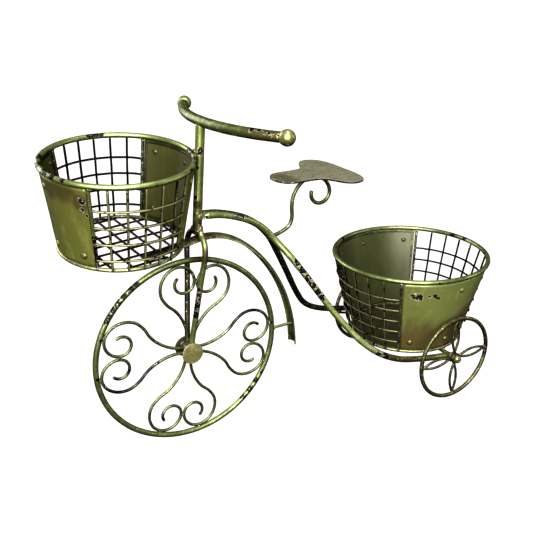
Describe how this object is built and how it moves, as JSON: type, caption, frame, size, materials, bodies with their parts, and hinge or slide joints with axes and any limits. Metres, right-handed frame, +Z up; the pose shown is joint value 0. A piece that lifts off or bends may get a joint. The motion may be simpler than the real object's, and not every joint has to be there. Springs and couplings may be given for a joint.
{
  "type": "bicycle planter",
  "caption": "Garden planter bent from painted rod as an old tricycle, with a round wire basket in front and a larger one between the rear wheels.",
  "frame": {"origin": "middle of the planter's outline, on the floor it stands on", "axes": "+Z up, +X to the rear end, +Y to the rider's right"},
  "size_m": [0.6172, 0.254, 0.4166],
  "materials": {
    "moss_paint": "moss green paint, half gloss, worn to dark metal on the edges",
    "olive_paint": "olive green paint with brown wash, half gloss, worn",
    "khaki_paint": "khaki green paint, rubbed lighter",
    "panel_paint": "olive green paint with brown wash, half gloss, chipped",
    "wire_paint": "olive green paint on thin wire",
    "saddle_paint": "grey taupe paint, dull"
  },
  "bodies": {
    "planter_frame": {"steering_column": "moss_paint", "fork_blade_left": "moss_paint", "fork_blade_right": "moss_paint", "handlebar": "moss_paint", "handlebar_ball_left": "khaki_paint", "handlebar_ball_right": "khaki_paint", "frame_rod_left": "moss_paint", "frame_rod_right": "moss_paint", "seat_post": "moss_paint", "saddle": "saddle_paint", "rear_axle": "moss_paint", "axle_cap_left": "khaki_paint", "axle_cap_right": "khaki_paint", "mudguard": "olive_paint", "mudguard_stay": "moss_paint", "front_rim": "olive_paint", "front_hub": "khaki_paint", "front_scroll_1": "olive_paint", "front_scroll_2": "olive_paint", "front_scroll_3": "olive_paint", "front_scroll_4": "olive_paint", "front_scroll_5": "olive_paint", "front_scroll_6": "olive_paint", "front_scroll_7": "olive_paint", "front_scroll_8": "olive_paint", "front_basket_top_ring": "moss_paint", "front_basket_bottom_ring": "moss_paint", "front_basket_floor": "wire_paint", "front_basket_net_left": "wire_paint", "front_basket_net_right": "wire_paint", "front_basket_panel_front": "panel_paint", "front_basket_panel_rear": "panel_paint", "front_basket_edge_bar_1": "moss_paint", "front_basket_edge_bar_2": "moss_paint", "front_basket_edge_bar_3": "moss_paint", "front_basket_edge_bar_4": "moss_paint", "rear_basket_top_ring": "moss_paint", "rear_basket_bottom_ring": "moss_paint", "rear_basket_floor": "panel_paint", "rear_basket_net_front": "wire_paint", "rear_basket_net_rear": "wire_paint", "rear_basket_panel_left": "panel_paint", "rear_basket_panel_right": "panel_paint", "rear_basket_edge_bar_1": "moss_paint", "rear_basket_edge_bar_2": "moss_paint", "rear_basket_edge_bar_3": "moss_paint", "rear_basket_edge_bar_4": "moss_paint"},
    "rear_wheel_left": {"rear_rim_left": "olive_paint", "rear_hub_left": "khaki_paint", "rear_petal_left_1": "olive_paint", "rear_petal_left_2": "olive_paint", "rear_petal_left_3": "olive_paint", "rear_petal_left_4": "olive_paint"},
    "rear_wheel_right": {"rear_rim_right": "olive_paint", "rear_hub_right": "khaki_paint", "rear_petal_right_1": "olive_paint", "rear_petal_right_2": "olive_paint", "rear_petal_right_3": "olive_paint", "rear_petal_right_4": "olive_paint"}
  },
  "joints": [
    {"name": "rear_wheel_left_spin", "type": "hinge", "parent": "planter_frame", "child": "rear_wheel_left", "pos_m": [0.20366, -0.0972, 0.06206], "axis": [0, 1, 0], "continuous": true},
    {"name": "rear_wheel_right_spin", "type": "hinge", "parent": "planter_frame", "child": "rear_wheel_right", "pos_m": [0.20366, 0.1049, 0.06206], "axis": [0, 1, 0], "continuous": true}
  ]
}
